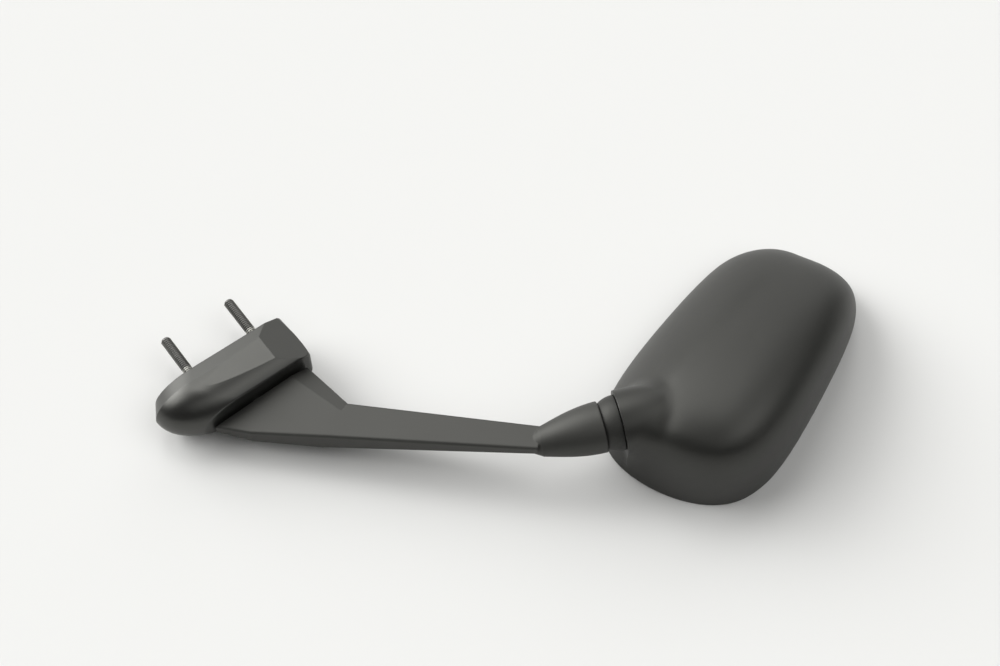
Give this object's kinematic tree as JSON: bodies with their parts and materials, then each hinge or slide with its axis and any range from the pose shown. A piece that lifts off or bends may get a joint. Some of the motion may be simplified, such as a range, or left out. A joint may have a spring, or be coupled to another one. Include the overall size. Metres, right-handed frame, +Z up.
{
  "type": "motorcycle fairing mirror",
  "caption": "Black folding fairing mirror: domed teardrop head on a ball-jointed tapered arm, pivoting on a rounded base pod with a pair of threaded mounting studs.",
  "frame": {"origin": "middle of the mounting face, between the two studs", "axes": "+X along the row of studs towards the head, +Y the way the studs point, +Z up as it lies glass down"},
  "size_m": [0.3713, 0.2679, 0.0582],
  "materials": {
    "housing_plastic": "satin moulded black",
    "cover_plastic": "satin moulded black",
    "arm_nylon": "matte black glass-filled nylon",
    "collar_plastic": "satin black",
    "zinc_steel": "zinc plated",
    "spring_steel": "oiled",
    "cast_alloy": "as cast",
    "bearing_bronze": "turned",
    "nylon": "natural",
    "seal_rubber": "matte black",
    "foam": "open-cell grey",
    "mirror_glass": "silvered"
  },
  "bodies": {
    "base": {"base_cover": "cover_plastic", "base_casting": "cast_alloy", "mounting_studs": "zinc_steel", "base_gasket": "seal_rubber", "cover_screws": "zinc_steel", "pivot_bush": "bearing_bronze", "friction_washer": "nylon", "disc_springs": "spring_steel"},
    "arm": {"arm": "arm_nylon", "pivot_bolt": "zinc_steel", "spring_washer": "zinc_steel", "pivot_nut": "zinc_steel", "ball_stud": "zinc_steel"},
    "front_seat": {"ball_seat_front": "nylon"},
    "rear_seat": {"ball_seat_rear": "nylon"},
    "head": {"neck_collar": "collar_plastic", "socket_cup": "nylon", "socket_spring": "spring_steel", "retaining_ring": "cast_alloy", "mirror_housing": "housing_plastic", "backing_plate": "collar_plastic", "backing_screws": "zinc_steel", "foam_pad": "foam", "mirror_glass": "mirror_glass", "glass_gasket": "seal_rubber"}
  },
  "joints": [
    {"name": "arm_fold", "type": "hinge", "parent": "base", "child": "arm", "pos_m": [0, -0.032, -0.0055], "axis": [0, 1, 0], "range_deg": [-50, 70]},
    {"name": "head_pan", "type": "hinge", "parent": "arm", "child": "front_seat", "pos_m": [0.1444, -0.1689, 0.019], "axis": [-0.08, 0.0346, 0.9962], "range_deg": [-10, 10]},
    {"name": "head_tilt", "type": "hinge", "parent": "front_seat", "child": "rear_seat", "pos_m": [0.1444, -0.1689, 0.019], "axis": [0.3972, 0.9178, 0], "range_deg": [-10, 10]},
    {"name": "head_roll", "type": "hinge", "parent": "rear_seat", "child": "head", "pos_m": [0.1444, -0.1689, 0.019], "axis": [0.9143, -0.3956, 0.0872], "range_deg": [-10, 10]}
  ]
}
